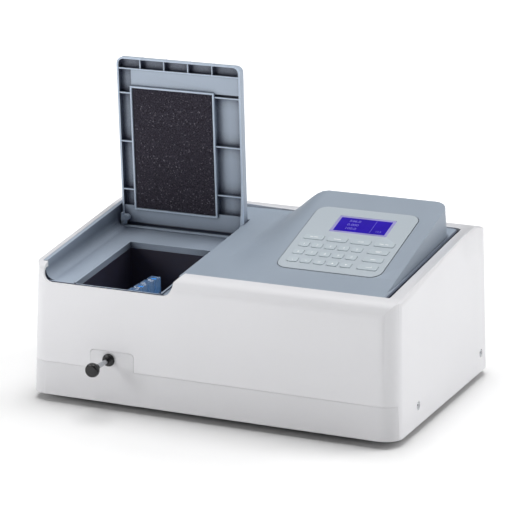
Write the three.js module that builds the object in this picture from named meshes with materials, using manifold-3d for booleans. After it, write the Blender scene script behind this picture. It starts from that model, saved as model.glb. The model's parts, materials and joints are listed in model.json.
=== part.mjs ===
// A bench-top visible-light spectrophotometer, in millimetres with +Z up.
// Built in casing coordinates: x = 0 is the middle of the casing, y = 0 its front foot line and
// z = 0 the bench. The whole group is centred on the bench at the end.
import * as THREE from 'three';
import Module from 'manifold-3d';
import { mergeVertices } from 'three/addons/utils/BufferGeometryUtils.js';

const wasm = await Module();
wasm.setup();

// ---------- driving dimensions ----------
const WIDTH = 460;
const DEPTH = 306;
const HALF = WIDTH / 2;
const FOOT_HEIGHT = 9;
const WALL = 3;
const GAP = 0.3;
const CORNER = 22;
const SIDE_DRAFT = 5 / 160;
const FRONT_DRAFT = 7.5 / 150;
const RIM_SLOPE = 0.118;
const RIM_FRONT = 162;
const DECK_SLOPE = 0.093;
const DECK_FRONT = 158.5;
const rimHeight = (y) => RIM_FRONT + RIM_SLOPE * y;
const deckHeight = (y) => DECK_FRONT + DECK_SLOPE * y;

// deck openings, measured from the left foot line of the casing and moved to the centred frame
const fromLeft = (x) => x - HALF;
const RECESS = { left: fromLeft(16), right: fromLeft(184.5), front: 12.8, rear: 224, drop: 17, wall: 2.2 };
const MOUTH_LEFT = fromLeft(19.8);
// the shadow line round the deck, where the casing stands back from it
const SEAM_LINE = 4.2;
const DECK = { left: fromLeft(20), split: fromLeft(183), right: fromLeft(433), front: 30, rear: 265, skin: 2.6 };

// lid, in its own frame: x as the casing, y towards the rear, z out of its top skin
const LID = { left: fromLeft(20.5), right: fromLeft(182.3), reach: 202, heel: 10, rise: 10, skin: 2.2, depth: 16 };
const PIVOT = { y: 207, z: deckHeight(207) - LID.rise };
const LID_LEAN = THREE.MathUtils.degToRad(-2.2);

// sample compartment
const WELL = { left: fromLeft(57), right: fromLeft(170), front: 12.3, rear: 153, floor: 46, wall: 2 };
const CELL = { x: fromLeft(105), size: 12.5, height: 45, wall: 1.25, pitch: 17, base: 81, first: 68.5, count: 4 };
const BEAM = { y: CELL.first + CELL.pitch, z: 98 };
const ROD = { z: 60, radius: 2.75, knobY: -35 };

// console: a wedge on the deck that carries the keypad and the display, steep at its right and rear sides
const CONSOLE = { start: 54.2, crest: 247, left: fromLeft(212), top: fromLeft(275), right: fromLeft(427),
  slope: 0.285, corner: 17, run: 2.2 };
const CONSOLE_TILT = Math.atan(CONSOLE.slope);
const consoleHeight = (y) => deckHeight(CONSOLE.start) + CONSOLE.slope * (y - CONSOLE.start);
const PLATE = { x: fromLeft(342.5), y: 145.3, width: 127, length: 137.5, corner: 13, thick: 2, pocket: 1.7, gap: 0.8 };
const KEY = { small: 12.5, wide: 24, length: 9.6, height: 1.7, pitchX: 16.35, pitchY: 16.9, corner: 2 };

// ---------- shape helpers ----------
const solid = (geometry) => {
  geometry.deleteAttribute('normal');
  geometry.deleteAttribute('uv');
  const merged = mergeVertices(geometry, 1e-4);
  return new wasm.Manifold(new wasm.Mesh({
    numProp: 3,
    vertProperties: new Float32Array(merged.attributes.position.array),
    triVerts: new Uint32Array(merged.index.array),
  }));
};
const toGeometry = (manifold) => {
  const mesh = manifold.getMesh();
  const geometry = new THREE.BufferGeometry();
  geometry.setAttribute('position', new THREE.BufferAttribute(new Float32Array(mesh.vertProperties), 3));
  geometry.setIndex(new THREE.BufferAttribute(new Uint32Array(mesh.triVerts), 1));
  geometry.computeVertexNormals();
  return geometry;
};
const union = (parts) => parts.reduce((a, b) => a.add(b));
const cut = (body, tools) => tools.reduce((a, b) => a.subtract(b), body);

const outline = (points) => new THREE.Shape(points.map(([a, b]) => new THREE.Vector2(a, b)));
const roundedRect = (x0, y0, x1, y1, r) => {
  const shape = new THREE.Shape();
  shape.moveTo(x0 + r, y0);
  shape.lineTo(x1 - r, y0);
  shape.absarc(x1 - r, y0 + r, r, -Math.PI / 2, 0, false);
  shape.lineTo(x1, y1 - r);
  shape.absarc(x1 - r, y1 - r, r, 0, Math.PI / 2, false);
  shape.lineTo(x0 + r, y1);
  shape.absarc(x0 + r, y1 - r, r, Math.PI / 2, Math.PI, false);
  shape.lineTo(x0, y0 + r);
  shape.absarc(x0 + r, y0 + r, r, Math.PI, 1.5 * Math.PI, false);
  return shape;
};
const moved = (geometry, map) => {
  const p = geometry.attributes.position;
  const v = new THREE.Vector3();
  for (let i = 0; i < p.count; i += 1) {
    v.fromBufferAttribute(p, i);
    map(v);
    p.setXYZ(i, v.x, v.y, v.z);
  }
  return geometry;
};
const extrude = (shape, depth, segments = 5) => (
  new THREE.ExtrudeGeometry(shape, { depth, bevelEnabled: false, curveSegments: segments })
);
// outline in (x, y), standing from z0 to z1
const prismZ = (shape, z0, z1, segments) => extrude(shape, z1 - z0, segments).translate(0, 0, z0);
// outline in (y, z), running from x0 to x1
const prismX = (shape, x0, x1, segments) => (
  moved(extrude(shape, x1 - x0, segments), (v) => v.set(v.z + x0, v.x, v.y))
);
// outline in (x, z), running from y0 to y1
const prismY = (shape, y0, y1, segments) => (
  extrude(shape, y1 - y0, segments).rotateX(Math.PI / 2).translate(0, y1, 0)
);
const boxGeometry = (x0, x1, y0, y1, z0, z1) => (
  new THREE.BoxGeometry(x1 - x0, y1 - y0, z1 - z0).translate((x0 + x1) / 2, (y0 + y1) / 2, (z0 + z1) / 2)
);
const box = (...sides) => solid(boxGeometry(...sides));
const sheared = (geometry) => moved(geometry, (v) => v.setZ(v.z + DECK_SLOPE * v.y));
const deckBox = (...sides) => solid(sheared(boxGeometry(...sides)));
const rodX = (x0, x1, y, z, r, segments = 20) => (
  solid(new THREE.CylinderGeometry(r, r, x1 - x0, segments).rotateZ(Math.PI / 2).translate((x0 + x1) / 2, y, z))
);
const rodY = (y0, y1, x, z, r, segments = 20) => (
  solid(new THREE.CylinderGeometry(r, r, y1 - y0, segments).translate(x, (y0 + y1) / 2, z))
);
const rodZ = (z0, z1, x, y, r, segments = 20) => (
  solid(new THREE.CylinderGeometry(r, r, z1 - z0, segments).rotateX(Math.PI / 2).translate(x, y, (z0 + z1) / 2))
);
// profile of [radius, height] pairs, turned about an axis that runs along +Y
const turned = (profile, segments = 24) => (
  new THREE.LatheGeometry(profile.map(([r, h]) => new THREE.Vector2(r, h)), segments)
);

// ---------- scene tree ----------
const root = new THREE.Group();
root.name = 'spectrophotometer';
const paint = (color, roughness, metalness = 0) => ({ color, roughness, metalness });
const WHITE = paint(0xe6e6e8, 0.42);
const BLUE_GREY = paint(0x8f9eac, 0.45);
const PALE_GREY = paint(0xb9c4cd, 0.5);
const BLACK = paint(0x17171a, 0.6);
const STEEL = paint(0xb8babd, 0.28, 1);
const CIRCUIT = paint(0x1f5a3a, 0.6);
const addPiece = (name, shape, look, parent = root) => {
  const geometry = shape.isBufferGeometry ? shape : toGeometry(shape);
  const mesh = new THREE.Mesh(geometry, new THREE.MeshStandardMaterial(look));
  mesh.name = name;
  parent.add(mesh);
  return mesh;
};

// ---------- casing ----------
// a rounded plan drafted inwards with height, cut to the side profile of the casing
const draftedPlan = (inset) => {
  const plan = roundedRect(-HALF + inset, inset, HALF - inset, DEPTH - inset, CORNER - inset);
  return solid(moved(prismZ(plan, 0, 230, 10), (v) => {
    const lift = v.z - FOOT_HEIGHT;
    v.setX(v.x * (1 - SIDE_DRAFT * lift / HALF));
    v.setY(v.y + FRONT_DRAFT * lift * (1 - v.y / DEPTH));
  }));
};
const sideProfile = (inset) => {
  const faceAt = (z) => FRONT_DRAFT * (z - FOOT_HEIGHT) + inset;
  const shape = new THREE.Shape();
  const low = -1;
  const rear = DEPTH - inset;
  shape.moveTo(faceAt(low), low);
  shape.lineTo(rear, low);
  shape.lineTo(rear, 160 - inset);
  shape.bezierCurveTo(rear, 178 - inset, 285, 188.5 - inset, 250, 188.5 - inset);
  shape.quadraticCurveTo(236, 188.8 - inset, 222, rimHeight(222) - inset);
  shape.lineTo(25, rimHeight(25) - inset);
  shape.bezierCurveTo(16, rimHeight(16) - inset, faceAt(156), 158 - inset, faceAt(146), 146 - inset);
  return shape;
};
// height of the casing's top at y, read from its side profile
const topLine = sideProfile(0).getPoints(14).filter((p) => p.y > 140).sort((a, b) => a.x - b.x);
const topAt = (y) => {
  const next = topLine.findIndex((p) => p.x >= y);
  if (next < 1) return (next < 0 ? topLine[topLine.length - 1] : topLine[0]).y;
  const [a, b] = [topLine[next - 1], topLine[next]];
  return a.y + (b.y - a.y) * (y - a.x) / (b.x - a.x);
};
// rounds the long edges where the side walls meet the top
const SHOULDER = { x: HALF - 5, radius: 4, stations: 44 };
const shoulders = () => {
  const { x, radius } = SHOULDER;
  const shape = new THREE.Shape();
  shape.moveTo(-x - 9, -300);
  shape.lineTo(x + 9, -300);
  shape.lineTo(x + 9, -radius - 9);
  shape.lineTo(x + 0.6, -radius - 9);
  shape.lineTo(x, -radius);
  shape.absarc(x - radius, -radius, radius, 0, Math.PI / 2, false);
  shape.lineTo(x - radius, 0.5);
  shape.lineTo(-x + radius, 0.5);
  shape.absarc(-x + radius, -radius, radius, Math.PI / 2, Math.PI, false);
  shape.lineTo(-x - 0.6, -radius - 9);
  shape.lineTo(-x - 9, -radius - 9);
  const bar = new THREE.ExtrudeGeometry(shape,
    { depth: DEPTH + 4, steps: SHOULDER.stations, bevelEnabled: false, curveSegments: 5 });
  bar.rotateX(Math.PI / 2).translate(0, DEPTH + 2, 0);
  return solid(moved(bar, (v) => v.setZ(v.z + topAt(v.y))));
};
const shellSolid = (inset) => draftedPlan(inset).intersect(
  solid(prismX(sideProfile(inset), -HALF - 5, HALF + 5, 12)));

// the opening in the front wall that the lid's front skirt closes
const frontMouth = (grow) => {
  const left = MOUTH_LEFT - grow;
  const right = RECESS.right + grow;
  const low = deckHeight(0) - RECESS.drop + 1 - grow;
  const shape = new THREE.Shape();
  shape.moveTo(left + 11, low);
  shape.lineTo(right - 14, low);
  shape.absarc(right - 14, low + 14, 14, -Math.PI / 2, 0, false);
  shape.lineTo(right, 159);
  shape.lineTo(right + 8, 167);
  shape.lineTo(right + 8, 230);
  shape.lineTo(left, 230);
  shape.lineTo(left, low + 11);
  shape.absarc(left + 11, low + 11, 11, Math.PI, 1.5 * Math.PI, false);
  return shape;
};
// the recess's left wall ends in a narrow flange that lies on the casing's rim
const FLANGE = 2.4;
// the corner post of the casing stands in front of the recess's left wall
const POST_REAR = 20;
const SEAM = 48;
const TAB = { left: fromLeft(80.7), right: fromLeft(136.3), top: 70, corner: 5 };
const skirtRegion = (grow) => union([
  box(-HALF - 5, HALF + 5, -5, 13 + grow, 0, SEAM + grow),
  solid(prismY(roundedRect(TAB.left - grow, SEAM - 12, TAB.right + grow, TAB.top + grow, TAB.corner), -5, 20)),
]);
const SCREW_HEIGHT = 32;
const SIDE_SCREWS = [68, 272].flatMap((y) => [-1, 1].map((side) => ({ y, side, z: SCREW_HEIGHT })));
const screwHole = ({ y, side, z }) => rodX(side * HALF - 20, side * HALF + 20, y, z, 2.3, 12);
const COUNTERBORE = { radius: 4.9, depth: 1.6 };
const shellAtScrew = HALF - SIDE_DRAFT * (SCREW_HEIGHT - FOOT_HEIGHT);

const REAR = {
  inlet: { x: -150, z: 46, width: 47, height: 31 },
  toggle: { x: -98, z: 46, width: 19, height: 27 },
  port: { x: -40, z: 46, width: 31, height: 13 },
  fan: { x: 120, z: 92, radius: 34 },
};
const rearHole = ({ x, z, width, height }, grow = 0) => box(
  x - width / 2 - grow, x + width / 2 + grow, DEPTH - 12, DEPTH + 12, z - height / 2 - grow, z + height / 2 + grow);

// the roof is thicker towards the rear, where the rims stand above the deck
const cavity = shellSolid(WALL).intersect(
  solid(sheared(boxGeometry(-HALF, HALF, -9, DEPTH + 9, -60, DECK_FRONT - DECK.skin - GAP))));
const hollowShell = shellSolid(0).intersect(shoulders()).subtract(cavity);
const belowFloor = box(-HALF - 9, HALF + 9, -9, DEPTH + 9, -9, FOOT_HEIGHT);
// the right and rear rims slope down to the deck's edge, like a picture frame
const RIM = { side: HALF - 4 - DECK.right, rear: 11, fadeFrom: -150, fadeTo: 0 };
const clamp = (t) => Math.min(1, Math.max(0, t));
const smooth = (t) => clamp(t) ** 2 * (3 - 2 * clamp(t));
const rimColumns = [-160, -110, -75, -37, 0, 70, 140, DECK.right - 6, DECK.right,
  ...[0.12, 0.25, 0.4, 0.6, 0.8, 1].map((t) => DECK.right + t * RIM.side), HALF + 9];
const rimRows = [DECK.front - GAP, 70, 110, 150, 190, 222, 236, 250, DECK.rear - 6, DECK.rear,
  ...[0.2, 0.4, 0.6, 0.8, 1].map((t) => DECK.rear + t * RIM.rear), DEPTH + 9];
const rimCut = (x, y) => {
  const edgeY = Math.min(y, DECK.rear);
  const top = topAt(Math.min(edgeY, 250)) + 0.25;
  const across = Math.max(0, x - DECK.right) / RIM.side;
  const back = Math.max(0, y - DECK.rear) / RIM.rear;
  const share = Math.min(1, Math.hypot(across, back));
  const fade = smooth((x - RIM.fadeFrom) / (RIM.fadeTo - RIM.fadeFrom));
  return top - (1 - share) * fade * (top - deckHeight(edgeY) - 1);
};
const gridBlock = (columns, rows, place) => solid(moved(
  new THREE.BoxGeometry(1, 1, 1, columns.length - 1, rows.length - 1, 1),
  (v) => {
    const x = columns[Math.round((v.x + 0.5) * (columns.length - 1))];
    const y = rows[Math.round((v.y + 0.5) * (rows.length - 1))];
    v.copy(place(x, y, v.z > 0));
  }));
const rimBevel = gridBlock(rimColumns, rimRows, (x, y, upper) => (
  new THREE.Vector3(x, y, upper ? 240 : rimCut(x, y))));
const ventSlots = Array.from({ length: 7 }, (_, i) => box(
  -30 + i * 9, -26 + i * 9, DEPTH - 9, DEPTH + 9, 85, 125));
const fanSlots = Array.from({ length: 7 }, (_, i) => {
  const z = REAR.fan.z - 27 + i * 9;
  const reach = Math.sqrt(30 ** 2 - (z - REAR.fan.z) ** 2);
  return box(REAR.fan.x - reach, REAR.fan.x + reach, DEPTH - 9, DEPTH + 9, z - 2.2, z + 2.2);
});
addPiece('upper_casing', cut(hollowShell, [
  belowFloor,
  skirtRegion(GAP),
  solid(prismZ(roundedRect(DECK.left - 3, DECK.front - GAP, DECK.right + SEAM_LINE, DECK.rear + GAP, 10), 120, 240)),
  box(RECESS.left - FLANGE - GAP, DECK.left, POST_REAR, RECESS.rear, rimHeight(0), 240).subtract(
    solid(prismX(outline([[-9, 0], [400, 0], [400, rimHeight(400) - 2.3], [-9, rimHeight(-9) - 2.3]]), -300, 0))),
  solid(prismY(frontMouth(0), -9, DECK.front + 4)),
  box(RECESS.left, RECESS.left + 20, POST_REAR, RECESS.rear, 120, 240),
  rimBevel,
  rearHole(REAR.inlet, GAP),
  rearHole(REAR.toggle, GAP),
  rearHole(REAR.port, GAP),
  ...ventSlots,
  ...fanSlots,
  ...SIDE_SCREWS.map(screwHole),
  ...SIDE_SCREWS.map(({ y, side, z }) => {
    const inner = side * (shellAtScrew - COUNTERBORE.depth);
    const outer = side * (HALF + 9);
    return rodX(Math.min(inner, outer), Math.max(inner, outer), y, z, COUNTERBORE.radius, 24);
  }),
]), WHITE);

const bushingHole = rodY(-9, 40, CELL.x, ROD.z, 5 + GAP);
addPiece('front_skirt', cut(hollowShell.intersect(skirtRegion(0)), [belowFloor, bushingHole]), WHITE);

const PAN = { z: FOOT_HEIGHT + 0.5, thick: 2.5, margin: 5 };
const panHalf = HALF - PAN.margin;
const panPlan = roundedRect(-panHalf, PAN.margin, panHalf, DEPTH - PAN.margin, CORNER - PAN.margin);
// an upright lug behind each side screw
const LUG = { thick: 5, half: 9, above: 8 };
const lugs = SIDE_SCREWS.map(({ y, side, z }) => {
  const [x0, x1] = side > 0 ? [panHalf - LUG.thick, panHalf] : [-panHalf, -panHalf + LUG.thick];
  return box(x0, x1, y - LUG.half, y + LUG.half, PAN.z + 1, z + LUG.above);
});
const base = union([solid(prismZ(panPlan, PAN.z, PAN.z + PAN.thick, 5)), ...lugs]);
addPiece('base_plate', cut(base, SIDE_SCREWS.map(screwHole)), paint(0x3a3c40, 0.6, 0.6));

// a rubber foot under each corner, with its peg just below the pan
const FOOT_X = HALF - 42;
[['front_left', -1, 38], ['front_right', 1, 38], ['rear_left', -1, 268], ['rear_right', 1, 268]]
  .forEach(([where, side, y]) => {
    const profile = [[0, 0], [9, 0], [10, 1.2], [11.5, PAN.z - GAP], [0, PAN.z - GAP]];
    const foot = addPiece(`foot_${where}`, solid(turned(profile, 20).rotateX(Math.PI / 2)), BLACK);
    foot.position.set(side * FOOT_X, y, 0);
  });

// a domed screw on each side near both ends, its shank reaching into the pan's lug
const screwProfile = [[0, -4.4], [1.9, -4.4], [1.9, 0], [3.7, 0], [3.7, 0.9], [2.8, 1.8], [1.4, 2.2], [0, 2.3]];
SIDE_SCREWS.forEach(({ y, side, z }) => {
  const where = `${side > 0 ? 'right' : 'left'}_${y < DEPTH / 2 ? 'front' : 'rear'}`;
  const slot = boxGeometry(-3, 3, 1.2, 4, -0.5, 0.5);
  const body = solid(turned(screwProfile, 16)).subtract(solid(slot));
  const screw = addPiece(`side_screw_${where}`, toGeometry(body).rotateZ(side > 0 ? -Math.PI / 2 : Math.PI / 2), STEEL);
  screw.position.set(side * (shellAtScrew + GAP - COUNTERBORE.depth), y, z);
});

// ---------- deck with the console ----------
// distances from the middle of the console's rounded corner: over its top, down its side and out over the deck
const bend = { x: CONSOLE.right - CONSOLE.corner, y: CONSOLE.crest - CONSOLE.corner };
const sideStart = CONSOLE.corner - DECK.skin - 0.4;
const sideFoot = CONSOLE.corner + CONSOLE.run;
const bendRings = [0, 4, 8, 12, sideStart + 1.5, CONSOLE.corner, sideFoot, sideFoot + 1, 60];
const deckColumns = [DECK.left, DECK.split - 12, CONSOLE.left, ...[0.12, 0.24, 0.36, 0.5, 0.64, 0.76, 0.88]
  .map((t) => CONSOLE.left + t * (CONSOLE.top - CONSOLE.left)), CONSOLE.top, ...bendRings.map((d) => bend.x + d)];
const deckRows = [DECK.front, CONSOLE.start, 80, 110, 150, 200, ...bendRings.map((d) => bend.y + d)];
const deckTop = (x, y, reach) => {
  const crest = consoleHeight(Math.min(Math.max(y, CONSOLE.start), CONSOLE.crest));
  const rise = Math.max(0, crest - deckHeight(y)) * smooth((x - CONSOLE.left) / (CONSOLE.top - CONSOLE.left));
  return deckHeight(y) + rise * (1 - clamp((reach - CONSOLE.corner) / CONSOLE.run));
};
// the grid's square corner is bent round, so that its lines follow the console's rounded outline
const deckSolid = gridBlock(deckColumns, deckRows, (column, row, upper) => {
  const across = Math.max(0, column - bend.x);
  const back = Math.max(0, row - bend.y);
  const reach = Math.max(across, back);
  const turn = (across >= back ? back / Math.max(across, 1) : 2 - across / back) * Math.PI / 4;
  const x = Math.min(column, bend.x) + reach * Math.cos(turn);
  const y = Math.min(row, bend.y) + reach * Math.sin(turn);
  const top = deckTop(x, y, reach);
  if (upper) return new THREE.Vector3(x, y, top);
  const inwards = reach > sideStart && reach <= sideFoot ? DECK.skin : 0;
  return new THREE.Vector3(x - inwards * Math.cos(turn), y - inwards * Math.sin(turn), top - DECK.skin);
});
const deckOutline = solid(prismZ(roundedRect(DECK.left, DECK.front, DECK.right, DECK.rear, 10), 100, 300));
const deckBlock = deckSolid.intersect(deckOutline).subtract(
  box(-400, DECK.split, -9, RECESS.rear - 2, 100, 300));

// keypad frame: x across, y up the slope, z out of the console's face
const keypadFrame = new THREE.Matrix4().makeTranslation(PLATE.x, PLATE.y, consoleHeight(PLATE.y))
  .multiply(new THREE.Matrix4().makeRotationX(CONSOLE_TILT));
const onConsole = (geometry) => geometry.applyMatrix4(keypadFrame);
const plateShape = (grow) => roundedRect(-PLATE.width / 2 - grow, -PLATE.length / 2 - grow,
  PLATE.width / 2 + grow, PLATE.length / 2 + grow, PLATE.corner + grow);
const DISPLAY = { left: -28.5, right: 37, low: 18.7, high: 50.4 };
const displayShape = (grow) => roundedRect(DISPLAY.left - grow, DISPLAY.low - grow,
  DISPLAY.right + grow, DISPLAY.high + grow, 1);
const POCKET_BACK = 4;
const pocketBlock = solid(onConsole(prismZ(plateShape(3), -PLATE.pocket - POCKET_BACK, -0.05)));
addPiece('top_panel', cut(deckBlock.add(pocketBlock), [
  solid(onConsole(prismZ(plateShape(PLATE.gap), -PLATE.pocket, 20))),
  solid(onConsole(prismZ(displayShape(1), -20, 20))),
]), BLUE_GREY);

const KEYS = [
  { row: 0, names: ['mode', 'setup', 'zero', 'measure'], wide: true, start: -42.5, pitch: 29 },
  { row: 1, names: ['1', '2', '3', '4', '5'], start: -48, pitch: KEY.pitchX, last: 'print' },
  { row: 2, names: ['6', '7', '8', '9', '0'], start: -48, pitch: KEY.pitchX, last: 'escape' },
  { row: 3, names: ['point', 'minus', 'clear', 'up', 'down'], start: -48, pitch: KEY.pitchX, last: 'enter' },
].flatMap(({ row, names, wide, start, pitch, last }) => {
  const y = -0.5 - row * KEY.pitchY;
  const keys = names.map((name, i) => ({ name, x: start + i * pitch, y, width: wide ? KEY.wide : KEY.small }));
  return last ? [...keys, { name: last, x: 43.6, y, width: KEY.wide }] : keys;
});
const keyShape = ({ x, y, width }, grow) => roundedRect(x - width / 2 - grow, y - KEY.length / 2 - grow,
  x + width / 2 + grow, y + KEY.length / 2 + grow, KEY.corner);
const PLATE_BACK = GAP - PLATE.pocket;
const windowSeat = prismZ(displayShape(2.6), PLATE_BACK + PLATE.thick - 1.3, 20);
addPiece('keypad_plate', cut(solid(onConsole(prismZ(plateShape(0), PLATE_BACK, PLATE_BACK + PLATE.thick, 4))), [
  solid(onConsole(prismZ(displayShape(0), -20, 20, 2))),
  solid(onConsole(windowSeat)),
  ...KEYS.map((key) => solid(onConsole(prismZ(keyShape(key, GAP), -9, 9, 1)))),
]), PALE_GREY);
KEYS.forEach((key) => {
  const low = PLATE_BACK + 0.5;
  const body = onConsole(prismZ(keyShape(key, 0), low, low + KEY.height + 0.6, 1));
  addPiece(`key_${key.name}`, solid(body), paint(0xc3ccd3, 0.5));
});
const windowLow = PLATE_BACK + PLATE.thick - 1.3 + GAP;
addPiece('lcd_window', solid(onConsole(prismZ(displayShape(2.3), windowLow, windowLow + 1.1, 2))), paint(0x3c1ecd, 0.15));

// display board: circuit board, the display block behind its window, and two standoff blocks
const BOARD = { z: -PLATE.pocket - POCKET_BACK - 8 };
addPiece('display_board', union([
  solid(onConsole(boxGeometry(-58, 58, -60, 60, BOARD.z, BOARD.z + 1.6))),
  solid(onConsole(boxGeometry(-34, 42, 14, 56, BOARD.z + 1, BOARD.z + 7))),
  solid(onConsole(boxGeometry(-27.5, 36, 19.7, 49.4, BOARD.z + 5, PLATE_BACK - 1.2))),
  solid(onConsole(boxGeometry(-50, 40, -55, -45, BOARD.z - 6, BOARD.z + 1))),
]), CIRCUIT);

// ---------- recess that the lid closes into ----------
const floorLevel = DECK_FRONT - RECESS.drop;
const wallRight = RECESS.left + GAP + RECESS.wall;
const fillet = 12;
const hollowCorner = new THREE.Shape();
hollowCorner.moveTo(wallRight - 0.5, floorLevel - 0.5);
hollowCorner.lineTo(wallRight + fillet, floorLevel - 0.5);
hollowCorner.lineTo(wallRight + fillet, floorLevel);
hollowCorner.quadraticCurveTo(wallRight + 1, floorLevel + 0.5, wallRight, floorLevel + fillet);
hollowCorner.lineTo(wallRight - 0.5, floorLevel + fillet);
const recessRight = RECESS.right - GAP;
const troughRadius = LID.heel + 1.3;
const rearBlock = deckBox(RECESS.left + GAP, recessRight + 2, PIVOT.y - 8, RECESS.rear - GAP,
  floorLevel - 9, deckHeight(0) - DECK.skin - GAP);
const wallTop = (y) => rimHeight(y) - 0.1;
const wallFront = POST_REAR + GAP;
const wallStart = RECESS.front + 3.2;
const leftWall = solid(prismX(outline([
  [wallStart, floorLevel - 2], [RECESS.rear - GAP, floorLevel + DECK_SLOPE * RECESS.rear - 2],
  [RECESS.rear - GAP, wallTop(RECESS.rear - GAP)], [wallFront, wallTop(wallFront)],
  [wallFront, deckHeight(wallFront) - 4], [wallStart, deckHeight(wallStart) - 4]]),
RECESS.left + GAP, wallRight));
const leftFlange = solid(prismX(outline([
  [wallFront, wallTop(wallFront) - 1.9], [RECESS.rear - 1, wallTop(RECESS.rear) - 1.9],
  [RECESS.rear - 1, wallTop(RECESS.rear)], [wallFront, wallTop(wallFront)]]), RECESS.left - FLANGE, wallRight - 0.5));
const COLLAR = { lip: 1.5, drop: 6 };
const frontStrip = RECESS.front + 1.5;
addPiece('lid_recess', cut(union([
  deckBox(RECESS.left + GAP, recessRight, RECESS.front, RECESS.rear - GAP, floorLevel - 3, floorLevel),
  solid(sheared(prismY(hollowCorner, wallStart, RECESS.rear - 1, 6))),
  deckBox(recessRight - 0.9, recessRight + 1.4, DECK.front, RECESS.rear - GAP, floorLevel - 3,
    deckHeight(0) - DECK.skin - GAP),
  deckBox(WELL.left, WELL.right, RECESS.front, WELL.rear, floorLevel - COLLAR.drop, floorLevel + COLLAR.lip),
  rearBlock,
  leftWall,
  leftFlange,
]), [
  rodX(wallRight, recessRight - 0.9, PIVOT.y, PIVOT.z, troughRadius, 36),
  box(wallRight, recessRight - 0.9, PIVOT.y - troughRadius, PIVOT.y + troughRadius, PIVOT.z, 300),
  rodX(RECESS.left - 9, recessRight + 9, PIVOT.y, PIVOT.z, 3.3, 20),
  deckBox(WELL.left + WELL.wall, WELL.right - WELL.wall, frontStrip, WELL.rear - WELL.wall, 90, 200),
  deckBox(WELL.left + WELL.wall, WELL.right - WELL.wall, RECESS.front - 1, frontStrip + 1, floorLevel, 200),
]), BLUE_GREY);

// ---------- sample compartment ----------
const wellTop = floorLevel - COLLAR.drop - GAP;
const wellOuter = box(WELL.left, WELL.right, WELL.front, WELL.rear, WELL.floor, 200);
const wellInner = box(WELL.left + WELL.wall, WELL.right - WELL.wall, WELL.front + WELL.wall, WELL.rear - WELL.wall,
  WELL.floor + WELL.wall, 300);
addPiece('sample_well', cut(wellOuter, [
  wellInner,
  deckBox(-300, 300, -50, 400, wellTop, 400),
  bushingHole,
  box(-300, 0, BEAM.y - 5, BEAM.y + 5, BEAM.z - 8, BEAM.z + 8),
]), BLACK);

// cell changer: everything on the pull rod slides together
const changer = new THREE.Group();
changer.name = 'cell_changer';
root.add(changer);
const CARRIAGE = { half: 15, front: CELL.first - 8.5, low: 52, top: 108 };
CARRIAGE.rear = CARRIAGE.front + CELL.pitch * CELL.count;
const cellY = (i) => CELL.first + i * CELL.pitch;
const pocketHalf = CELL.size / 2 + GAP;
addPiece('cell_carriage', cut(
  box(CELL.x - CARRIAGE.half, CELL.x + CARRIAGE.half, CARRIAGE.front, CARRIAGE.rear, CARRIAGE.low, CARRIAGE.top),
  Array.from({ length: CELL.count }, (_, i) => [
    box(CELL.x - pocketHalf, CELL.x + pocketHalf, cellY(i) - pocketHalf, cellY(i) + pocketHalf,
      CELL.base - GAP, 200),
    box(CELL.x - 30, CELL.x + 30, cellY(i) - 4, cellY(i) + 4, BEAM.z - 8, BEAM.z + 8),
  ]).flat().concat(rodY(0, CARRIAGE.front + 14, CELL.x, ROD.z, ROD.radius + GAP))), BLACK, changer);
for (let i = 0; i < CELL.count; i += 1) {
  const half = CELL.size / 2;
  const body = box(CELL.x - half, CELL.x + half, cellY(i) - half, cellY(i) + half, CELL.base, CELL.base + CELL.height);
  const mouth = box(CELL.x - half + CELL.wall, CELL.x + half - CELL.wall, cellY(i) - half + CELL.wall,
    cellY(i) + half - CELL.wall, CELL.base + CELL.height - 3.8, 200);
  addPiece(`cuvette_${i + 1}`, body.subtract(mouth), paint(0x8fb8d8, 0.1), changer);
}
const rodEnd = CARRIAGE.front + 14 - GAP;
const rod = addPiece('pull_rod', solid(turned([[0, ROD.knobY + 3], [ROD.radius - 0.4, ROD.knobY + 3],
  [ROD.radius, ROD.knobY + 3.4], [ROD.radius, rodEnd - 1], [ROD.radius - 1, rodEnd], [0, rodEnd]], 20)), STEEL, changer);
rod.position.set(CELL.x, 0, ROD.z);
const knob = addPiece('pull_knob', solid(turned([[0, -7.5], [5.5, -7.5], [7.6, -6.2], [8.4, -3.6], [8.4, -1.4], [7.2, 1.6],
  [4.6, 3.4], [4.4, 7.4], [3.8, 8], [ROD.radius + GAP, 8], [ROD.radius + GAP, 3 - GAP], [0, 3 - GAP]], 28)), BLACK, changer);
knob.position.set(CELL.x, ROD.knobY, ROD.z);

// bushing: a domed collar on the front face and a sleeve through the skirt into the well
const faceY = FRONT_DRAFT * (ROD.z - FOOT_HEIGHT);
const bore = ROD.radius + GAP;
const bushing = addPiece('rod_bushing', solid(turned([[bore, -5], [4.6, -5], [7, -3.4], [7.6, -1.2], [7.6, -0.6], [5, -0.6],
  [5, WELL.front + WELL.wall - faceY], [bore, WELL.front + WELL.wall - faceY], [bore, -5]], 28)), BLACK);
bushing.position.set(CELL.x, faceY, ROD.z);

// ---------- lid ----------
const lid = new THREE.Group();
lid.name = 'lid';
lid.position.set(0, PIVOT.y, PIVOT.z);
lid.rotation.x = -(Math.PI / 2 + LID_LEAN);
root.add(lid);
const lidSkirt = LID.rise - LID.depth;
const FOAM = { left: fromLeft(40), right: fromLeft(146), near: -16, far: -165, thick: 9 };
const frameWall = 2;
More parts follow.
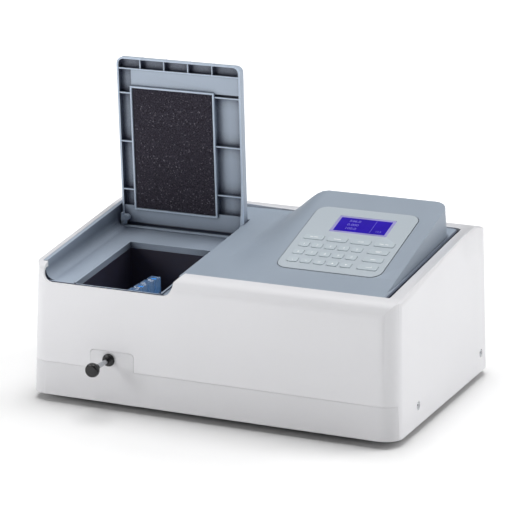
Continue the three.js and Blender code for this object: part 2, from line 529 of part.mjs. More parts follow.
// side outline in (y, z): round at the pivot end, rounded at the front top edge
const heelEnd = Math.sqrt(LID.heel ** 2 - lidSkirt ** 2);
const lidSide = new THREE.Shape();
lidSide.moveTo(0, LID.heel);
lidSide.absarc(0, 0, LID.heel, Math.PI / 2, Math.atan2(lidSkirt, heelEnd), true);
lidSide.lineTo(-LID.reach, lidSkirt);
lidSide.lineTo(-LID.reach, LID.rise - 7);
lidSide.quadraticCurveTo(-LID.reach, LID.rise, -LID.reach + 7, LID.rise);
const lidPlan = (inset) => {
  const shape = new THREE.Shape();
  const l = LID.left + inset;
  const r = LID.right - inset;
  const f = -LID.reach + inset;
  const c = 9 - inset;
  shape.moveTo(l, 40);
  shape.lineTo(l, f + c);
  shape.absarc(l + c, f + c, c, Math.PI, 1.5 * Math.PI, false);
  shape.lineTo(r - c, f);
  shape.absarc(r - c, f + c, c, 1.5 * Math.PI, 2 * Math.PI, false);
  shape.lineTo(r, 40);
  return shape;
};
const lidBody = solid(prismX(lidSide, LID.left, LID.right, 7)).intersect(
  solid(prismZ(lidPlan(0), lidSkirt, LID.rise + 9, 5)));
// the walls are shallow, to leave a finger gap at the front and to clear the rounded foot of the recess wall,
// and the right one flares down to full depth towards the hinge
const WALL_RISE = 5.5;
const wallLow = lidSkirt + WALL_RISE;
const shallowFrom = { left: -8.5, right: -13 };
const flare = new THREE.Shape();
flare.moveTo(-LID.reach - 1, lidSkirt - 1);
flare.lineTo(shallowFrom.right, lidSkirt - 1);
flare.quadraticCurveTo(shallowFrom.right - 10, wallLow - 1.2, shallowFrom.right - 55, wallLow);
flare.lineTo(-LID.reach - 1, wallLow);
const lidOuter = cut(lidBody, [
  box(LID.left - 1, LID.left + 9, -LID.reach - 1, shallowFrom.left, lidSkirt - 1, wallLow),
  solid(prismX(flare, LID.left + 8, LID.right + 1, 6)),
]);
const lidInner = solid(prismX(outline([[-LID.reach + LID.skin, lidSkirt - 5], [LID.heel * 0.75, lidSkirt - 5],
  [LID.heel * 0.75, 0], [LID.heel * 0.55, LID.heel * 0.55], [0, LID.rise - LID.skin],
  [-LID.reach + LID.skin, LID.rise - LID.skin]]), LID.left - 5, LID.right + 5))
  .intersect(solid(prismZ(lidPlan(LID.skin), lidSkirt - 9, 30, 5)));
const ribLow = wallLow + 0.6;
const rib = (x0, x1, y0, y1, z0 = ribLow) => box(x0, x1, y0, y1, z0, LID.rise - 1);
const frameLow = LID.rise - LID.skin - GAP - FOAM.thick - 0.5;
const foamFrame = rib(FOAM.left - frameWall - GAP, FOAM.right + frameWall + GAP, FOAM.far - frameWall - GAP,
  FOAM.near + frameWall + GAP, frameLow);
const foamSpace = box(FOAM.left - GAP, FOAM.right + GAP, FOAM.far - GAP, FOAM.near + GAP, -30, LID.rise - LID.skin);
const sideRibs = [38, 98, 158].flatMap((v) => [
  rib(LID.left + 1, FOAM.left - frameWall, -v - 0.8, -v + 0.8),
  rib(FOAM.right + frameWall, LID.right - 1, -v - 4 - 0.8, -v - 4 + 0.8),
]);
const crossWallY = -LID.reach + 14;
const crossWall = rib(LID.left + 1, LID.right - 1, crossWallY - 0.8, crossWallY + 0.8);
const frontRibs = [0.19, 0.385, 0.58, 0.775].map((t) => {
  const x = LID.left + t * (LID.right - LID.left);
  return rib(x - 0.8, x + 0.8, -LID.reach + 1, crossWallY, ribLow + 0.5);
});
// the web above and below the foam pad stands proud, with a deep channel down each side of the pad's frame
const WEB = { low: LID.rise - LID.skin - 7, foot: -18, heel: 3 };
const web = cut(rib(LID.left + 1, LID.right - 1, crossWallY, WEB.heel, WEB.low), [
  box(LID.left - 1, FOAM.left - frameWall + 0.5, crossWallY - 1, WEB.foot, WEB.low - 9, LID.rise - LID.skin),
  box(FOAM.right + frameWall - 0.5, LID.right + 1, FOAM.far - 1, WEB.foot, WEB.low - 9, LID.rise - LID.skin),
  foamSpace,
]);
const bosses = [rodX(LID.left, LID.left + 5, 0, 0, 6.5, 24), rodX(LID.right - 5, LID.right, 0, 0, 6.5, 24)];
const pillar = rodZ(lidSkirt + 0.5, LID.rise - 1, LID.left + 6.2, -3, 3.8, 24);
const stubPins = [rodX(LID.left - 2.6, LID.left + 1, 0, 0, 3, 20), rodX(LID.right - 1, LID.right + 2.4, 0, 0, 3, 20)];
addPiece('lid_shell', union([
  lidOuter.subtract(lidInner),
  foamFrame.subtract(foamSpace),
  web,
  ...sideRibs,
  crossWall,
  ...frontRibs,
  ...bosses,
  pillar,
  ...stubPins,
]), BLUE_GREY, lid);
addPiece('lid_foam', boxGeometry(FOAM.left, FOAM.right, FOAM.far, FOAM.near,
  LID.rise - LID.skin - GAP - FOAM.thick, LID.rise - LID.skin - GAP), paint(0x2b2a31, 0.95), lid);

// ---------- rear connectors and fan ----------
const connectorBody = ({ x, z, width, height }, rim, deep) => union([
  box(x - width / 2, x + width / 2, DEPTH - deep, DEPTH + GAP + 1, z - height / 2, z + height / 2),
  box(x - width / 2 - rim, x + width / 2 + rim, DEPTH + GAP, DEPTH + GAP + 1.8, z - height / 2 - rim, z + height / 2 + rim),
]);
const inlet = REAR.inlet;
const inletPins = [[0, 4], [-7, -2], [7, -2]].map(([dx, dz]) => box(
  inlet.x + dx - 1, inlet.x + dx + 1, DEPTH - 19, DEPTH - 3, inlet.z + dz - 2, inlet.z + dz + 2));
addPiece('power_inlet', union([
  connectorBody(inlet, 2.5, 22).subtract(
    solid(prismY(roundedRect(inlet.x - 12, inlet.z - 8, inlet.x + 12, inlet.z + 8, 2), DEPTH - 18, DEPTH + 9))),
  ...inletPins,
]), BLACK);
const port = REAR.port;
addPiece('data_port', cut(connectorBody(port, 1.6, 10), [
  box(port.x - 13, port.x + 13, DEPTH - 5, DEPTH + 9, port.z - 4.2, port.z + 4.2),
]), STEEL);
// rocker switch: a frame in the wall and the rocker that tips on its pin
const toggle = REAR.toggle;
const toggleHole = (grow) => box(toggle.x - 6.5 - grow, toggle.x + 6.5 + grow, DEPTH - 12, DEPTH + 9,
  toggle.z - 10.5 - grow, toggle.z + 10.5 + grow);
addPiece('switch_frame', cut(connectorBody(toggle, 1.8, 14), [
  toggleHole(0),
  rodX(toggle.x - 8, toggle.x + 8, DEPTH - 3, toggle.z, 1.5, 12),
]), BLACK);
const rockerAxisY = DEPTH - 3;
const rockerSide = [[-6.5, -6.5], [-1, -9.6], [7, -8.3], [5, 0], [4.2, 9.2], [-1, 9.6], [-6.5, 6.5]];
const rocker = addPiece('power_rocker', solid(prismX(outline(rockerSide), -6.1, 6.1))
  .add(rodX(-7.6, 7.6, 0, 0, 1.2, 12)), paint(0x202022, 0.4));
rocker.position.set(toggle.x, rockerAxisY, toggle.z);

const fan = REAR.fan;
const fanDepth = 25;
const fanFront = DEPTH - WALL - GAP - fanDepth;
const hubRadius = 13;
const strut = (angle) => solid(boxGeometry(hubRadius - 2, 34, 0, 2.5, -2, 2).rotateY(angle).translate(fan.x, fanFront, fan.z));
addPiece('fan_frame', union([
  cut(box(fan.x - 36, fan.x + 36, fanFront, fanFront + fanDepth, fan.z - 36, fan.z + 36),
    [rodY(fanFront - 9, fanFront + 40, fan.x, fan.z, 33, 32)]),
  ...[0.25, 0.75, 1.25, 1.75].map((t) => strut(t * Math.PI)),
  rodY(fanFront, fanFront + 4, fan.x, fan.z, hubRadius, 24),
  rodY(fanFront + 3, fanFront + 18, fan.x, fan.z, 2, 12),
]), BLACK);
const blades = Array.from({ length: 7 }, (_, i) => solid(
  new THREE.BoxGeometry(20, 1.6, 13).rotateX(0.6).translate(hubRadius + 8, 12.5, 0).rotateY(i * 2 * Math.PI / 7)));
const rotorHub = rodY(5.5, 20, 0, 0, hubRadius, 24).subtract(rodY(-5, 18.6, 0, 0, 2.4, 12));
const rotor = addPiece('fan_rotor', union([rotorHub, ...blades]), BLACK);
rotor.position.set(fan.x, fanFront, fan.z);

// ---------- inside ----------
const OPTICS = { left: fromLeft(195), right: fromLeft(330), front: 50, rear: 168, top: 132, wall: 3 };
const panTop = PAN.z + PAN.thick + GAP;
addPiece('monochromator_cover', cut(
  box(OPTICS.left, OPTICS.right, OPTICS.front, OPTICS.rear, panTop, OPTICS.top), [
    box(OPTICS.left + OPTICS.wall, OPTICS.right - OPTICS.wall, OPTICS.front + OPTICS.wall, OPTICS.rear - OPTICS.wall,
      0, OPTICS.top - OPTICS.wall),
    box(OPTICS.left - 5, OPTICS.left + 9, BEAM.y - 4, BEAM.y + 4, BEAM.z - 8, BEAM.z + 8),
    box(OPTICS.right - 9, OPTICS.right + 5, 118, 126, BEAM.z - 8, BEAM.z + 8),
  ]), paint(0x2a2b2e, 0.7, 0.4));
const grating = new THREE.Group();
grating.name = 'grating_turret';
grating.position.set(fromLeft(262), 108, panTop);
root.add(grating);
addPiece('grating_table', union([
  rodZ(0, 70, 0, 0, 5, 20),
  rodZ(66, 72, 0, 0, 17, 32),
  box(-14, 14, 2, 8, 70, 100),
]), STEEL, grating);
const bulb = addPiece('halogen_lamp', solid(turned([[0, 0], [14, 0], [14, 62], [6, 66], [6, 78], [7, 82], [7, 95],
  [5, 100], [0, 102]], 20).rotateX(Math.PI / 2)), paint(0xd9dde0, 0.2));
bulb.position.set(fromLeft(362), 122, panTop);
addPiece('detector_box', cut(box(fromLeft(24), fromLeft(47), BEAM.y - 16, BEAM.y + 16, 72, 124), [
  rodX(fromLeft(40), fromLeft(60), BEAM.y, BEAM.z, 6, 20),
]), paint(0x8c9096, 0.5, 0.7));
// main board on two low rails, with its transformer and a row of capacitors
const MAIN_BOARD = { left: fromLeft(200), right: fromLeft(400), front: 184, rear: 262, lift: 6, thick: 1.6 };
const boardTop = panTop + MAIN_BOARD.lift + MAIN_BOARD.thick;
const boardRail = (y) => box(MAIN_BOARD.left + 5, MAIN_BOARD.right - 5, y - 3, y + 3, panTop, panTop + MAIN_BOARD.lift + 0.5);
const capacitor = (x) => rodZ(boardTop - 0.6, boardTop + 30.4, x, 205, 8, 16);
addPiece('main_board', union([
  box(MAIN_BOARD.left, MAIN_BOARD.right, MAIN_BOARD.front, MAIN_BOARD.rear, boardTop - MAIN_BOARD.thick, boardTop),
  boardRail(MAIN_BOARD.front + 9),
  boardRail(MAIN_BOARD.rear - 9),
  box(fromLeft(330), fromLeft(385), 195, 245, boardTop - 0.6, boardTop + 40.4),
  ...[0, 24, 48].map(capacitor),
]), CIRCUIT);

// the model stands centred on the bench: its box runs from the pull knob to the rocker switch
const FRONT_END = ROD.knobY - 7.5;
const REAR_END = rockerAxisY + 7;
root.position.y = -(FRONT_END + REAR_END) / 2;
export default root;
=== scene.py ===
"""A bench-top spectrophotometer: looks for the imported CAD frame, in metres."""
import json
import math

import bmesh
import bpy
from mathutils import Matrix, Vector, noise as field


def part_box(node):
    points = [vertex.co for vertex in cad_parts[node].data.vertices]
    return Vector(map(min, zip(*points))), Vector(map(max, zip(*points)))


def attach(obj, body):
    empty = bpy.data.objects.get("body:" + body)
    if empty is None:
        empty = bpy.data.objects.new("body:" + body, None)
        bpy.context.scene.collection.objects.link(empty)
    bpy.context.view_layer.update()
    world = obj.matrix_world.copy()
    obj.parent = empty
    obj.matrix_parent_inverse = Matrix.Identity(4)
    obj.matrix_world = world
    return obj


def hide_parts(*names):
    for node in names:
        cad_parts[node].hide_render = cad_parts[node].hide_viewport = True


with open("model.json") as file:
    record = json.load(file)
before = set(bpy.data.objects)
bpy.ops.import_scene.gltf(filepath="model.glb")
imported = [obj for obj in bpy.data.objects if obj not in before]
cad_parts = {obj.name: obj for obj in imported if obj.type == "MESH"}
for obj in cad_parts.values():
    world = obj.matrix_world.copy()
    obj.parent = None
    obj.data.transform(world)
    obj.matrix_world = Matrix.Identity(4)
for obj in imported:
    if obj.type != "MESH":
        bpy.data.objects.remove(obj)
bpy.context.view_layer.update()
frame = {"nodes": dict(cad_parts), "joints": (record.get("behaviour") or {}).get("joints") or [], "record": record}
nodes = frame["nodes"]
joints = {joint["name"]: joint for joint in frame["joints"]}
slots = {row["node"]: row["material_slot"] for row in frame["record"]["subparts"]}
MM = 0.001


def srgb(red, green, blue):
    """Linear colour, with alpha, from the usual 0 to 255 values."""
    def linear(value):
        share = value / 255
        return share / 12.92 if share <= 0.04045 else ((share + 0.055) / 1.055) ** 2.4
    return (linear(red), linear(green), linear(blue), 1.0)


def shaded(colour, share):
    return tuple(min(1.0, channel * share) for channel in colour[:3]) + (1.0,)


# ---------- frames of reference ----------
LID_LEAN = math.radians(-2.2)  # the open lid stands a little short of upright


def console_frame():
    """Axes of the keypad: x across, y up the slope, z out of the console's face."""
    out = -Vector(joints["key_5_press"]["axis"])
    across = Vector((1, 0, 0))
    return Matrix((across, out.cross(across), out)).transposed().to_4x4()


def lid_frame():
    """Axes of the lid: x along its hinge, y from its front edge to the hinge, z out of its top skin."""
    hinge = Vector(joints["lid_hinge"]["pos_m"])
    return Matrix.Translation(hinge) @ Matrix.Rotation(-math.pi / 2 - LID_LEAN, 4, "X")


def local_box(node, axes):
    """Lowest and highest corner of a CAD node in a frame of its own."""
    back = axes.inverted()
    points = [back @ vertex.co for vertex in nodes[node].data.vertices]
    low = Vector(min(point[i] for point in points) for i in range(3))
    high = Vector(max(point[i] for point in points) for i in range(3))
    return low, high


# ---------- material tools ----------
def new_material(name):
    material = bpy.data.materials.new(name)
    material.use_nodes = True
    tree = material.node_tree
    return material, tree, tree.nodes["Principled BSDF"]


def texture(tree, kind, scale, stretch=(1, 1, 1), **inputs):
    """A noise or Voronoi texture in object space, whose scale is a size in metres."""
    coordinates = tree.nodes.new("ShaderNodeTexCoord")
    mapping = tree.nodes.new("ShaderNodeMapping")
    mapping.inputs["Scale"].default_value = stretch
    node = tree.nodes.new("ShaderNodeTex" + kind)
    node.inputs["Scale"].default_value = 1 / scale
    for key, value in inputs.items():
        node.inputs[key].default_value = value
    tree.links.new(coordinates.outputs["Object"], mapping.inputs["Vector"])
    tree.links.new(mapping.outputs["Vector"], node.inputs["Vector"])
    return node.outputs["Distance" if kind == "Voronoi" else "Fac"]


def spread(tree, value, low, high, start=0.3, end=0.7):
    """Maps start..end of a value, by default the usual span of a noise, onto low..high."""
    node = tree.nodes.new("ShaderNodeMapRange")
    node.inputs["From Min"].default_value = start
    node.inputs["From Max"].default_value = end
    node.inputs["To Min"].default_value = low
    node.inputs["To Max"].default_value = high
    tree.links.new(value, node.inputs["Value"])
    return node.outputs["Result"]


def blend_colour(tree, factor, first, second):
    """Mixes two colours, each given as a colour or as a socket."""
    node = tree.nodes.new("ShaderNodeMix")
    node.data_type = "RGBA"
    tree.links.new(factor, node.inputs["Factor"])
    for socket, colour in ((node.inputs[6], first), (node.inputs[7], second)):
        if isinstance(colour, tuple):
            socket.default_value = colour
        else:
            tree.links.new(colour, socket)
    return node.outputs[2]


def bump(tree, shader, height, depth):
    node = tree.nodes.new("ShaderNodeBump")
    node.inputs["Distance"].default_value = depth
    tree.links.new(height, node.inputs["Height"])
    tree.links.new(node.outputs["Normal"], shader.inputs["Normal"])


CLOSED_SKY = 0.5
OPEN_SKY = 0.9


def hollows(tree, colour, shade_colour, reach):
    """Paints shade into corners, grooves and pockets, whose sky is mostly shut off by what lies within a reach."""
    node = tree.nodes.new("ShaderNodeAmbientOcclusion")
    node.samples = 6
    node.inputs["Distance"].default_value = reach
    closed = spread(tree, node.outputs["AO"], 1.0, 0.0, CLOSED_SKY, OPEN_SKY)
    return blend_colour(tree, closed, colour, shade_colour)


BLUNT = 0.52
SHARP = 0.64
EDGE_WEAR = 0.45


def worn_edges(tree, colour, paler):
    """Rubs the convex edges paler: pointiness is 0.5 on a flat face and rises towards a sharp edge."""
    geometry = tree.nodes.new("ShaderNodeNewGeometry")
    wear = spread(tree, geometry.outputs["Pointiness"], 0.0, EDGE_WEAR, BLUNT, SHARP)
    return blend_colour(tree, wear, colour, paler)


# ---------- materials ----------
# the colour of the painted shade in hollows and at the deck's seam
PAINTED_SHADE_COLOUR = srgb(66, 73, 92)
TONE_PATCH = 110 * MM
SMEAR_PATCH = 38 * MM


def plastic(name, colour, roughness, grain=0.5 * MM, depth=0.02 * MM, drift=0.03, coat=0.0, shade_reach=0.0):
    """Moulded plastic: a fine spark-eroded grain, a slow drift of tone, handling marks and paler edges.
    Where its last argument isn't 0, painted shade darkens the hollows, and that argument is the reach that they
    are judged by."""
    material, tree, shader = new_material(name)
    drifting = spread(tree, texture(tree, "Noise", TONE_PATCH, Detail=3.0), 0, 1)
    tone = blend_colour(tree, drifting, shaded(colour, 1 - drift), shaded(colour, 1 + drift))
    rubbed = worn_edges(tree, tone, shaded(colour, 1.2))
    if shade_reach:
        rubbed = hollows(tree, rubbed, PAINTED_SHADE_COLOUR, shade_reach)
    tree.links.new(rubbed, shader.inputs["Base Color"])
    smears = texture(tree, "Noise", SMEAR_PATCH, stretch=(1, 1, 0.4), Detail=4.0)
    tree.links.new(spread(tree, smears, roughness - 0.06, roughness + 0.06), shader.inputs["Roughness"])
    shader.inputs["Coat Weight"].default_value = coat
    shader.inputs["Coat Roughness"].default_value = 0.18
    bump(tree, shader, texture(tree, "Noise", grain, Detail=2.0), depth)
    return material


FULL_TINT = 0.85


def tint_beyond(material, axis, start, end, colour):
    """Blends a colour into a material, from none at start to most of it at end, measured along an axis."""
    tree = material.node_tree
    socket = tree.nodes["Principled BSDF"].inputs["Base Color"]
    coordinates = tree.nodes.new("ShaderNodeTexCoord")
    along = tree.nodes.new("ShaderNodeVectorMath")
    along.operation = "DOT_PRODUCT"
    along.inputs[1].default_value = axis
    tree.links.new(coordinates.outputs["Object"], along.inputs[0])
    beyond = spread(tree, along.outputs["Value"], 0.0, FULL_TINT, start, end)
    tree.links.new(blend_colour(tree, beyond, socket.links[0].from_socket, colour), socket)


def metal(name, colour, roughness, stretch=(1, 1, 1), grain=0.4 * MM, depth=0.01 * MM):
    """Machined or cast metal: a grain that may be stretched into turning or brushing lines."""
    material, tree, shader = new_material(name)
    lines = texture(tree, "Noise", grain, stretch=stretch, Detail=3.0)
    tone = blend_colour(tree, spread(tree, lines, 0, 1), shaded(colour, 0.86), shaded(colour, 1.06))
    tree.links.new(worn_edges(tree, tone, shaded(colour, 1.25)), shader.inputs["Base Color"])
    tree.links.new(spread(tree, lines, roughness - 0.07, roughness + 0.07), shader.inputs["Roughness"])
    shader.inputs["Metallic"].default_value = 1.0
    bump(tree, shader, lines, depth)
    return material


def foam(name):
    """Open-cell foam: dark cells with paler struts and a few bright specks."""
    material, tree, shader = new_material(name)
    cells = texture(tree, "Voronoi", 1.5 * MM)
    fine = texture(tree, "Noise", 0.9 * MM, Detail=4.0, Roughness=0.7)
    specks = texture(tree, "Noise", 1.9 * MM, Detail=2.0)
    body = blend_colour(tree, spread(tree, cells, 0, 1, 0.25, 0.75), srgb(20, 18, 25), srgb(44, 41, 50))
    mottled = blend_colour(tree, spread(tree, fine, 0, 1, 0.42, 0.72), body, srgb(84, 80, 93))
    speckled = blend_colour(tree, spread(tree, specks, 0, 1, 0.62, 0.74), mottled, srgb(128, 124, 134))
    tree.links.new(speckled, shader.inputs["Base Color"])
    shader.inputs["Roughness"].default_value = 0.95
    shader.inputs["Specular IOR Level"].default_value = 0.25
    bump(tree, shader, cells, 0.5 * MM)
    return material


def rubber(name):
    """Matt black rubber with patches of dust."""
    material, tree, shader = new_material(name)
    dust = spread(tree, texture(tree, "Noise", 6 * MM, Detail=4.0), 0, 1, 0.45, 0.75)
    dusty = blend_colour(tree, dust, srgb(22, 22, 24), srgb(48, 47, 48))
    tree.links.new(dusty, shader.inputs["Base Color"])
    shader.inputs["Roughness"].default_value = 0.8
    bump(tree, shader, texture(tree, "Noise", 0.7 * MM), 0.05 * MM)
    return material


def cell_wall(name, glow=0.0):
    """Clear glass with a slight haze. A glow stands for the light that a wall picks up from a sample."""
    material, tree, shader = new_material(name)
    haze = texture(tree, "Noise", 5 * MM, Detail=3.0)
    hazy = blend_colour(tree, spread(tree, haze, 0, 1), srgb(206, 226, 240), srgb(240, 247, 252))
    tree.links.new(hazy, shader.inputs["Base Color"])
    tree.links.new(spread(tree, haze, 0.04, 0.16), shader.inputs["Roughness"])
    shader.inputs["Transmission Weight"].default_value = 0.84
    shader.inputs["Emission Color"].default_value = srgb(96, 160, 226)
    shader.inputs["Emission Strength"].default_value = glow
    shader.inputs["IOR"].default_value = 1.46
    return material


def liquid(name):
    """Blue sample solution in uneven clouds, lit from within so that it shows in its dark well."""
    material, tree, shader = new_material(name)
    clouds = texture(tree, "Noise", 14 * MM, stretch=(1, 1, 0.5))
    tint = blend_colour(tree, spread(tree, clouds, 0, 1), srgb(26, 112, 205), srgb(66, 156, 232))
    tree.links.new(tint, shader.inputs["Base Color"])
    tree.links.new(tint, shader.inputs["Emission Color"])
    shader.inputs["Emission Strength"].default_value = 0.7
    shader.inputs["Roughness"].default_value = 0.08
    shader.inputs["IOR"].default_value = 1.34
    return material


def glowing(name, colour, strength):
    """A back-lit surface behind clear plastic."""
    material, tree, shader = new_material(name)
    mottle = 0.08
    cloud = spread(tree, texture(tree, "Noise", 18 * MM, Detail=2.0), 0, 1)
    unlit = blend_colour(tree, cloud, shaded(colour, 0.06), shaded(colour, 0.1))
    lit = blend_colour(tree, cloud, shaded(colour, 1 - mottle), shaded(colour, 1 + mottle))
    tree.links.new(unlit, shader.inputs["Base Color"])
    tree.links.new(lit, shader.inputs["Emission Color"])
    shader.inputs["Emission Strength"].default_value = strength
    shader.inputs["Roughness"].default_value = 0.2
    shader.inputs["Specular IOR Level"].default_value = 0.2
    return material


def circuit(name):
    """Green solder mask over a web of copper areas."""
    material, tree, shader = new_material(name)
    tracks = texture(tree, "Voronoi", 4 * MM, stretch=(1, 0.35, 1))
    masked = blend_colour(tree, spread(tree, tracks, 0, 1, 0.2, 0.5), srgb(42, 116, 74), srgb(20, 74, 46))
    tree.links.new(masked, shader.inputs["Base Color"])
    shader.inputs["Roughness"].default_value = 0.4
    bump(tree, shader, tracks, 0.05 * MM)
    return material


DECK_COLOUR = srgb(158, 170, 184)
TRAY_COLOUR = srgb(174, 187, 203)
# how far apart the sides stand in a seam, in a pocket of the lid and in the lid's recess, which sets the reach of
# the painted shade there
SEAM_REACH = 4 * MM
POCKET_REACH = 17 * MM
RECESS_REACH = 42 * MM
looks = {
    "casing_white": plastic("casing_white", srgb(228, 228, 231), 0.34, coat=0.15, drift=0.012),
    # the deck gets painted shade in its seams
    "deck_blue_grey": plastic("deck_blue_grey", DECK_COLOUR, 0.42, shade_reach=SEAM_REACH),
    "keypad_grey": plastic("keypad_grey", srgb(190, 200, 208), 0.38, 0.35 * MM, 0.008 * MM, coat=0.1),
    "key_grey": plastic("key_grey", srgb(194, 205, 212), 0.36, 0.35 * MM, 0.008 * MM, coat=0.1),
    "black_plastic": plastic("black_plastic", srgb(13, 13, 16), 0.24, drift=0.1),
    "black_anodised": plastic("black_anodised", srgb(58, 55, 70), 0.48, 0.3 * MM, 0.015 * MM, 0.12),
    "black_foam": foam("black_foam"),
    "pan_metal": plastic("pan_metal", srgb(60, 62, 66), 0.5, 0.9 * MM, 0.05 * MM, drift=0.06),
    "rod_steel": metal("rod_steel", srgb(200, 202, 206), 0.22, stretch=(1, 14, 1)),
    "screw_steel": metal("screw_steel", srgb(196, 198, 202), 0.28),
    "connector_steel": metal("connector_steel", srgb(184, 186, 190), 0.34, stretch=(0.1, 1, 1)),
    "display_glass": glowing("display_glass", srgb(52, 26, 196), 0.62),
    "cuvette_glass": cell_wall("cuvette_glass", glow=0.04),
    "lamp_glass": cell_wall("lamp_glass"),
    "circuit_board": circuit("circuit_board"),
    "detector_alu": metal("detector_alu", srgb(150, 154, 160), 0.42, grain=1.2 * MM, depth=0.04 * MM),
    "foot_rubber": rubber("foot_rubber"),
}
# the lid's recess and the lid's pockets get painted shade in their hollows
recess_grey = plastic("recess_grey", TRAY_COLOUR, 0.36, shade_reach=RECESS_REACH)
lid_grey = plastic("lid_grey", TRAY_COLOUR, 0.4, shade_reach=POCKET_REACH)
print_white = plastic("print_white", srgb(240, 243, 247), 0.5, depth=0.004 * MM)
display_border = glowing("display_border", srgb(186, 180, 240), 0.6)
display_text = glowing("display_text", srgb(140, 130, 240), 0.7)
sample_blue = liquid("sample_blue")


def darken_deck_edge():
    """Paints shadow along the deck's right edge, where it meets its seam."""
    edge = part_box("top_panel")[1].x
    tint_beyond(looks["deck_blue_grey"], (1, 0, 0), edge - 3 * MM, edge - 2 * MM, PAINTED_SHADE_COLOUR)


def pale_lid_rims():
    """Paints highlights on the rims and ribs inside the lid, which end in the hinge's plane, so that they are
    paler than its pockets.
    """
    outward = lid_frame().to_3x3() @ Vector((0, 0, 1))
    rims = outward.dot(Vector(joints["lid_hinge"]["pos_m"]))
    tint_beyond(lid_grey, outward, rims + 0.7 * MM, rims + 0.2 * MM, shaded(TRAY_COLOUR, 1.35))


darken_deck_edge()
pale_lid_rims()


# ---------- CAD nodes that keep their shape ----------
OWN_LOOKS = {"lid_shell": lid_grey, "lid_recess": recess_grey}
USUAL_ROUND = 0.35  # millimetres, as in the list of wider rounds
EDGE_ROUND = {"upper_casing": 0.7, "front_skirt": 0.5, "top_panel": 0.6, "lid_recess": 0.6,
              "lid_shell": 0.45, "keypad_plate": 0.5, "base_plate": 0.4}
SAME_POINT = 0.01 * MM
SAME_FACE = math.radians(0.6)
REAL_EDGE = math.radians(34)


def finish_cad(node):
    """Rounds the edges of a CAD node with modifiers and gives it its look."""
    piece = nodes[node]
    piece.data.materials.clear()
    piece.data.materials.append(OWN_LOOKS.get(node) or looks[slots[node]])
    piece.data.polygons.foreach_set("use_smooth", [True] * len(piece.data.polygons))
    weld = piece.modifiers.new("weld", "WELD")
    weld.merge_threshold = SAME_POINT
    flatten = piece.modifiers.new("flatten", "DECIMATE")
    flatten.decimate_type = "DISSOLVE"
    flatten.angle_limit = SAME_FACE
    edge = piece.modifiers.new("edge", "BEVEL")
    edge.limit_method = "ANGLE"
    edge.angle_limit = REAL_EDGE
    edge.width = EDGE_ROUND.get(node, USUAL_ROUND) * MM
    edge.segments = 3
    normals = piece.modifiers.new("normals", "WEIGHTED_NORMAL")
    normals.mode = "FACE_AREA"
    normals.weight = 80
    normals.keep_sharp = True


# ---------- tools for new pieces ----------
def add_piece(name, shape, body, material, axes=None, smooth=True):
    """Makes a piece of a bmesh, places it by its axes, if it has any, and lets it ride on a body."""
    if axes is not None:
        shape.transform(axes)
    bmesh.ops.recalc_face_normals(shape, faces=shape.faces)
    mesh = bpy.data.meshes.new(name)
    shape.to_mesh(mesh)
    shape.free()
    mesh.polygons.foreach_set("use_smooth", [smooth] * len(mesh.polygons))
    mesh.materials.append(material)
    piece = bpy.data.objects.new(name, mesh)
    bpy.context.scene.collection.objects.link(piece)
    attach(piece, body)
    return piece


def round_outline(low, high, radius, steps=6):
    """Points of a rounded rectangle between two corners, counter-clockwise."""
    points = []
    for corner in range(4):
        centre_x = (high[0] - radius) if corner in (0, 3) else (low[0] + radius)
        centre_y = (high[1] - radius) if corner in (0, 1) else (low[1] + radius)
        for step in range(steps + 1):
            turn = (corner + step / steps) * math.pi / 2
            points.append((centre_x + radius * math.cos(turn), centre_y + radius * math.sin(turn)))
    return points


def loft(shape, rings):
    """Joins rings of equally many points with quads, and fills the first and last ring."""
    made = [[shape.verts.new(point) for point in ring] for ring in rings]
    for lower, upper in zip(made, made[1:]):
        for i in range(len(lower)):
            j = (i + 1) % len(lower)
            shape.faces.new((lower[i], lower[j], upper[j], upper[i]))
    shape.faces.new(made[0])
    shape.faces.new(made[-1])


def slab(shape, low, high, radius, soft):
    """Adds a rounded rectangular block whose upper edge is softened by a quarter round."""
    rings = [[(x, y, low[2]) for x, y in round_outline(low, high, radius)]]
    for turn in (0, 30, 60, 90):
        inset = soft * (1 - math.cos(math.radians(turn)))
        height = high[2] - soft + soft * math.sin(math.radians(turn))
        inner = round_outline((low[0] + inset, low[1] + inset), (high[0] - inset, high[1] - inset),
                              radius - inset)
        rings.append([(x, y, height) for x, y in inner])
    loft(shape, rings)


INK = 0.02 * MM  # half the thickness of a printed mark


def lettering(text, size):
    """A thin bmesh of digits, centred on the origin."""
    curve = bpy.data.curves.new("digits", "FONT")
    curve.body = text
    curve.size = size
    curve.align_x = "CENTER"
    curve.align_y = "CENTER"
    curve.extrude = INK
    holder = bpy.data.objects.new("digits", curve)
    bpy.context.scene.collection.objects.link(holder)
    bpy.context.view_layer.update()
    mesh = bpy.data.meshes.new_from_object(holder.evaluated_get(bpy.context.evaluated_depsgraph_get()))
    bpy.data.objects.remove(holder)
    shape = bmesh.new()
    shape.from_mesh(mesh)
    bpy.data.meshes.remove(mesh)
    return shape


def add_polygon(shape, points, low, high):
    """Adds a flat prism with that outline between two heights."""
    loft(shape, [[(x, y, low) for x, y in points], [(x, y, high) for x, y in points]])


